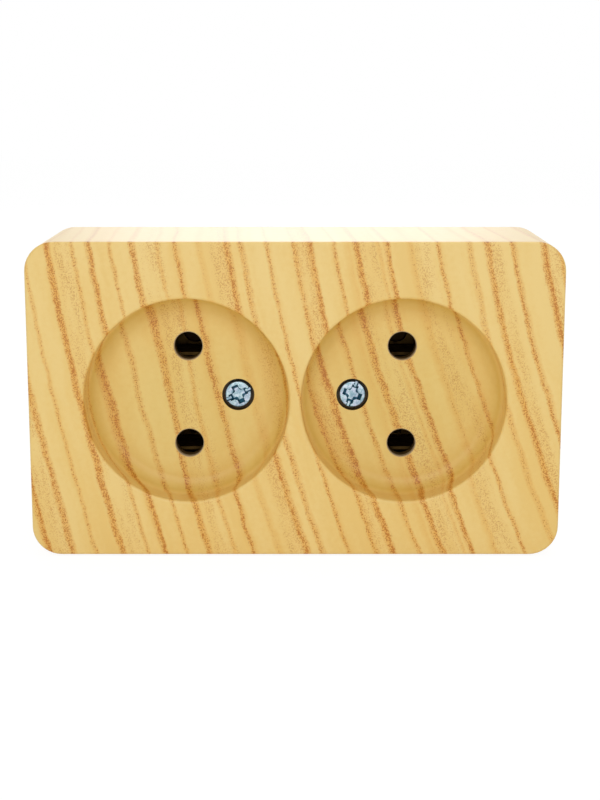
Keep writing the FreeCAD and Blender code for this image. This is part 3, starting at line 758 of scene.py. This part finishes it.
# %% Plain solids for the hollow
def drum(x, z, radius, front, rear, index, widening=0.0, steps=HOLE_STEPS):
    """A round solid between two levels, wider at the front by the widening."""
    mesh = bmesh.new()
    turn = Matrix.Rotation(math.radians(90), 4, "X")
    place = Matrix.Translation(at(x, (front + rear) / 2, z))
    bmesh.ops.create_cone(
        mesh, cap_ends=True, segments=steps, radius1=radius * MM, radius2=(radius + widening) * MM,
        depth=(front - rear) * MM, matrix=place @ turn,
    )
    set_material(mesh.faces, index)
    return mesh


def bar(x, z, width, height, front, rear, index):
    """A plain rectangular solid between two levels, for a cut or a rib."""
    mesh = bmesh.new()
    bmesh.ops.create_cube(mesh, size=1.0)
    bmesh.ops.scale(mesh, vec=Vector((width, front - rear, height)) * MM, verts=mesh.verts)
    bmesh.ops.translate(mesh, vec=at(x, (front + rear) / 2, z), verts=mesh.verts)
    set_material(mesh.faces, index)
    return mesh


# %% Cut the hollow
INNER_FRONT = DEPTH - FRONT_WALL
BACKING_TOP = DEPTH - FRONT_WALL / 2
PAST_RIM = 1.0
PLATE_TOP = 4.3  # the ribs end here, just above the base's plate
RIB_WIDTH = 1.2
RIB_REACH = 1.6
RIB_ROOT = SIDE_WALL / 2
LONG_RIB_PLACE = WELL_PLACE + 13.5
END_RIB_PLACE = 18.0
KNOCKOUT_WIDTH = 14.0
KNOCKOUT_RISE = 12.0
KNOCKOUT_SKIN = 0.8
BOSS_RADIUS = 4.5
COLLAR_RADIUS = 4.25
FLOOR_MIDDLE = WELL_FLOOR - 1.0
HOLLOW_CORNER = CORNER - SIDE_WALL


def backing():
    """The material behind the wells and on the walls, as separate solids."""
    for side in (-1, 1):
        x = side * WELL_PLACE
        cup_rise = (BACKING_TOP - FLOOR_BACK) * WELL_TAPER
        yield drum(x, 0, FLOOR_RADIUS + CUP_WALL, BACKING_TOP, FLOOR_BACK, BARE, cup_rise, 96)
        yield drum(side * SCREW_PLACE, 0, BOSS_RADIUS, FLOOR_MIDDLE, SEAT_LEVEL, BARE)
        for row in (-1, 1):
            yield drum(x, row * PIN_PLACE, COLLAR_RADIUS, FLOOR_MIDDLE, COLLAR_LEVEL, BARE)
            long_wall = row * (REAR_HEIGHT / 2 - SIDE_WALL + (RIB_ROOT - RIB_REACH) / 2)
            end_wall = side * (REAR_WIDTH / 2 - SIDE_WALL + (RIB_ROOT - RIB_REACH) / 2)
            reach = RIB_REACH + RIB_ROOT
            yield bar(side * LONG_RIB_PLACE, long_wall, RIB_WIDTH, reach, BACKING_TOP, PLATE_TOP, BARE)
            yield bar(end_wall, row * END_RIB_PLACE, reach, RIB_WIDTH, BACKING_TOP, PLATE_TOP, BARE)


def hollow():
    both_walls = 2 * SIDE_WALL + 2 * (INNER_FRONT - COVER_LIFT) * DRAFT
    width = REAR_WIDTH - both_walls
    height = REAR_HEIGHT - both_walls
    inner = block(width, height, HOLLOW_CORNER, INNER_FRONT, COVER_LIFT - PAST_RIM, BARE)
    room = to_object(inner, "room", ())
    pockets = []
    for row in (-1, 1):
        deep = SIDE_WALL
        z = row * (FRONT_HEIGHT / 2 - KNOCKOUT_SKIN - deep / 2)
        top = COVER_LIFT + KNOCKOUT_RISE
        pocket = bar(0, z, KNOCKOUT_WIDTH, deep, top, COVER_LIFT - PAST_RIM, BARE)
        pockets.append(to_object(pocket, "pocket", ()))
    combine(room, "UNION", pockets)
    return combine(room, "DIFFERENCE", [to_object(mesh, "backing", ()) for mesh in backing()])


combine(cover, "DIFFERENCE", [hollow()])
shade(cover)
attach(cover, "root")
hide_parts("cover")

# %% [markdown]
# The cover screws
#
# Each well holds one pan-head screw, sunk in the floor. The head is a spun profile. A cross and a
# slot are cut into it at the angle that the photograph shows. The shank has a real thread: a
# ridge that climbs by one pitch a turn, spun with a little lift at each step.

# %% Sizes of the screw
HEAD_RADIUS = 2.55
HEAD_TOP = HEAD_SEAT + 2.1
HEAD_ROUNDING = 0.3
SCREW_TIP = HEAD_SEAT - 12.0
TIP_CHAMFER = 0.4
SCREW_STEPS = 64
SHANK_RADIUS = 1.5
THREAD_DEPTH = 0.28
THREAD_PITCH = 0.5
THREAD_STEPS = 24  # for each turn
THREAD_FOOT = 0.48  # half the width of the ridge's foot, as a share of the pitch
THREAD_SINK = 0.05  # how deep the foot stands in the shank
SLOT_WIDTH = 0.8
SLOT_DEPTH = 0.5
SLOT_TAPER = 0.5
CROSS_WIDTH = 1.3
CROSS_REACH = 3.7
CROSS_CORNER = 0.4
CROSS_DEPTH = 1.0
CROSS_TAPER = 0.36  # the recess is narrower at its floor by this share
SCREW_TURNS = {"left": 25.0, "right": 70.0}
PLATED = 0
SHADED = 1


def make_screw_zinc():
    """Bright zinc, mottled blue, grey and a little lilac."""
    finish = Finish("screw_zinc")
    place = finish.place_in_mm()
    mottle = finish.step(finish.noise(place, 1.6, 3.0, 0.7), 0.36, 0.64)
    tint = finish.step(finish.noise(place, 0.8, 2.0), 0.4, 0.62)
    pale = finish.mix(tint, paint(186, 205, 206), paint(183, 189, 204))
    speckled = finish.mix(mottle, paint(126, 152, 164), pale)
    grains = finish.noise(place, 7.0, 2.0)
    return finish.surface(
        Base_Color=speckled, Metallic=1.0, Roughness=0.3 + grains * 0.2, Normal=finish.bump(grains, 0.02)
    )


def make_recess_zinc_painted_shade():
    """The steep walls of the recess: blue green zinc, darkened with painted shade."""
    finish = Finish("recess_zinc")
    cloud = finish.noise(finish.place_in_mm(), 2.0, 2.0)
    colour = finish.mix(cloud, paint(40, 96, 120), paint(92, 148, 166))
    return finish.surface(Base_Color=colour, Metallic=1.0, Roughness=0.35 + cloud * 0.2)


screw_zinc = make_screw_zinc()
recess_zinc = make_recess_zinc_painted_shade()
print("screw finishes:", screw_zinc.name, recess_zinc.name)


# %% Head, shank and thread
def rounded_rim(radius, top, rounding, steps=8):
    """Points of radius and level round an outer edge, from the top down."""
    points = []
    for i in range(steps + 1):
        angle = math.radians(90 * i / steps)
        points.append((radius - rounding * (1 - math.sin(angle)), top - rounding * (1 - math.cos(angle))))
    return points


def add_thread(mesh, x, z, radius, top, bottom, pitch, depth):
    """A ridge of triangular section that winds down a shank from top to bottom."""
    turns = (top - bottom) / pitch - 1
    root = radius - depth - THREAD_SINK
    foot = pitch * THREAD_FOOT
    section = [(root, foot), (radius, 0.0), (root, -foot)]
    start = top - pitch / 2
    verts = [mesh.verts.new(at(x + r, start + rise, z)) for r, rise in section]
    face = mesh.faces.new(verts)
    count = round(turns * THREAD_STEPS)
    lift = Vector((0, pitch / THREAD_STEPS * MM, 0))
    bmesh.ops.spin(
        mesh, geom=[face, *face.edges, *face.verts], cent=at(x, 0, z), axis=(0, 1, 0), dvec=lift,
        angle=math.tau * count / THREAD_STEPS, steps=count, use_merge=False,
    )


def screw_body(x):
    mesh = bmesh.new()
    core = SHANK_RADIUS - THREAD_DEPTH
    profile = [
        (0, HEAD_TOP),
        *rounded_rim(HEAD_RADIUS, HEAD_TOP, HEAD_ROUNDING),
        (HEAD_RADIUS, HEAD_SEAT),
        (core, HEAD_SEAT),
        (core, SCREW_TIP + TIP_CHAMFER),
        (core - TIP_CHAMFER, SCREW_TIP),
        (0, SCREW_TIP),
    ]
    turned(mesh, profile, x, 0, SCREW_STEPS, PLATED)
    bmesh.ops.remove_doubles(mesh, verts=mesh.verts, dist=MERGE_DISTANCE)
    bmesh.ops.recalc_face_normals(mesh, faces=mesh.faces)
    return mesh


def narrowed(mesh, depth, across, up):
    """Narrow a cutter to its floor by two shares; its walls are shaded and its floor is plated."""
    floor = HEAD_TOP - depth
    for vert in mesh.verts:
        lower = at_level(vert, floor)
        vert.co.x *= 1 - across if lower else 1 + across
        vert.co.z *= 1 - up if lower else 1 + up
    set_material([f for f in mesh.faces if all(at_level(v, floor) for v in f.verts)], PLATED)
    return mesh


def cross_cutter():
    """A square whose four sides are drawn out to arms, with its inner corners cut off."""
    mesh = bar(0, 0, CROSS_WIDTH, CROSS_WIDTH, HEAD_TOP + CROSS_DEPTH, HEAD_TOP - CROSS_DEPTH, SHADED)
    mesh.normal_update()
    sides = [face for face in mesh.faces if abs(face.normal.y) < 0.5]
    inner = [e for e in mesh.edges if all(face in sides for face in e.link_faces)]
    corners = [tuple(vert.co) for edge in inner for vert in edge.verts]
    arms = bmesh.ops.extrude_discrete_faces(mesh, faces=sides)["faces"]
    for arm in arms:
        reach = arm.normal * (CROSS_REACH - CROSS_WIDTH) / 2 * MM
        bmesh.ops.translate(mesh, vec=reach, verts=arm.verts)
    upright = []
    for edge in mesh.edges:
        ends = [vert.co for vert in edge.verts]
        if all(tuple(end) in corners for end in ends) and abs(ends[0].y - ends[1].y) > MM:
            upright.append(edge)
    bmesh.ops.bevel(
        mesh, geom=upright, offset=CROSS_CORNER * MM, segments=1, profile=0.5, affect="EDGES", material=-1
    )
    set_material(mesh.faces, SHADED)
    return narrowed(mesh, CROSS_DEPTH, CROSS_TAPER, CROSS_TAPER)


def slot_cutter():
    mesh = bar(0, 0, 3 * HEAD_RADIUS, SLOT_WIDTH, HEAD_TOP + SLOT_DEPTH, HEAD_TOP - SLOT_DEPTH, SHADED)
    return narrowed(mesh, SLOT_DEPTH, 0.0, SLOT_TAPER)


def driver_cuts(x, turn):
    """The slot and the cross, turned and moved to a screw."""
    for mesh in (slot_cutter(), cross_cutter()):
        spin = Matrix.Rotation(math.radians(-turn), 3, "Y")
        bmesh.ops.rotate(mesh, verts=mesh.verts, cent=(0, 0, 0), matrix=spin)
        bmesh.ops.translate(mesh, vec=at(x, 0, 0), verts=mesh.verts)
        bmesh.ops.recalc_face_normals(mesh, faces=mesh.faces)
        yield to_object(mesh, "driver_cut", ())


def make_screw(side, name):
    x = side * SCREW_PLACE
    screw = to_object(screw_body(x), f"pan_head_screw_{name}", (screw_zinc, recess_zinc))
    combine(screw, "DIFFERENCE", list(driver_cuts(x, SCREW_TURNS[name])))
    mesh = bmesh.new()
    mesh.from_mesh(screw.data)
    add_thread(mesh, x, 0, SHANK_RADIUS, HEAD_SEAT - 1.0, SCREW_TIP + 0.6, THREAD_PITCH, THREAD_DEPTH)
    mesh.to_mesh(screw.data)
    mesh.free()
    shade(screw)
    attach(screw, "root")
    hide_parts(f"cover_screw_{name}")


make_screw(-1, "left")
make_screw(1, "right")

# %% [markdown]
# Floor, background and light
#
# The photograph has a white ground with no horizon. The floor is pale, and for the camera most of
# it is plain white light, so that only the shadow under the socket shows. The light is soft: a
# white surround and one broad lamp in front, which lights the walls of the wells evenly. A lamp
# above whitens the top, and a weak one behind lights the wall side.

# %% The floor
FLOOR_SIZE = 4.0
FLOOR_LEVEL = CAD_LOW.z
FLOOR_GLOW = 1.08  # a little over white, because the rest of the mix is shaded floor
GLOW_SHARE = 0.86
WHITE_RAYS = ("Is Camera Ray", "Is Glossy Ray", "Is Transmission Ray")


def seen_directly(finish):
    """One for rays from the camera, from gloss and through glass, and nought for the others."""
    node = finish.node("ShaderNodeLightPath")
    outputs = node.socket.node.outputs
    rays = [Signal(finish, outputs[name]) for name in WHITE_RAYS]
    return finish.maths("MINIMUM", rays[0] + rays[1] + rays[2], 1.0)


def make_floor_finish():
    finish = Finish("pale_floor")
    grains = finish.noise(finish.place_in_mm(), 0.2, 2.0)
    finish.surface(Base_Color=finish.mix(grains, paint(244, 244, 244), paint(250, 250, 250)), Roughness=0.8)
    glow = finish.node("ShaderNodeEmission", inputs={"Color": (1, 1, 1, 1), "Strength": FLOOR_GLOW})
    both = finish.node("ShaderNodeMixShader", inputs={0: seen_directly(finish) * GLOW_SHARE})
    mixer = both.socket.node
    finish.tree.links.new(finish.shader.outputs[0], mixer.inputs[1])
    finish.tree.links.new(glow.socket, mixer.inputs[2])
    finish.tree.links.new(mixer.outputs[0], finish.tree.nodes["Material Output"].inputs["Surface"])
    return finish.material


floor_mesh = bmesh.new()
bmesh.ops.create_grid(floor_mesh, x_segments=1, y_segments=1, size=FLOOR_SIZE / 2)
bmesh.ops.translate(floor_mesh, vec=(0, 0, FLOOR_LEVEL), verts=floor_mesh.verts)
floor = to_object(floor_mesh, "floor", (make_floor_finish(),))

# %% The surround and the lamps
SURROUND = 0.46


def make_surround():
    """A world that lights the object softly and is plain white where it is seen."""
    world = bpy.data.worlds.new("surround")
    world.use_nodes = True
    nodes = world.node_tree.nodes
    links = world.node_tree.links
    path = nodes.new("ShaderNodeLightPath")
    seen = path.outputs[WHITE_RAYS[0]]
    for ray in WHITE_RAYS[1:]:
        either = nodes.new("ShaderNodeMath")
        either.operation = "MAXIMUM"
        links.new(seen, either.inputs[0])
        links.new(path.outputs[ray], either.inputs[1])
        seen = either.outputs[0]
    level = nodes.new("ShaderNodeMapRange")
    level.inputs["To Min"].default_value = SURROUND
    level.inputs["To Max"].default_value = 1.0
    links.new(seen, level.inputs["Value"])
    links.new(level.outputs[0], nodes["Background"].inputs["Strength"])
    nodes["Background"].inputs["Color"].default_value = (1, 1, 1, 1)
    return world


def add_lamp(name, place, target, size, power):
    data = bpy.data.lights.new(name, "AREA")
    data.shape = "DISK"
    data.size = size
    data.energy = power
    lamp = bpy.data.objects.new(name, data)
    lamp.location = place
    lamp.rotation_euler = (Vector(target) - Vector(place)).to_track_quat("-Z", "Y").to_euler()
    lamp.visible_camera = False
    bpy.context.collection.objects.link(lamp)


bpy.context.scene.world = make_surround()
add_lamp("front_lamp", (-0.03, -0.68, 0.2), (0, 0, 0), 0.6, 1.55)
add_lamp("top_lamp", (0.05, 0.1, 0.6), (0, -0.015, 0.03), 0.4, 1.0)
add_lamp("back_lamp", (0, 0.9, 0.28), (0, 0, 0.03), 0.35, 0.35)
bpy.context.scene.view_settings.view_transform = "Standard"
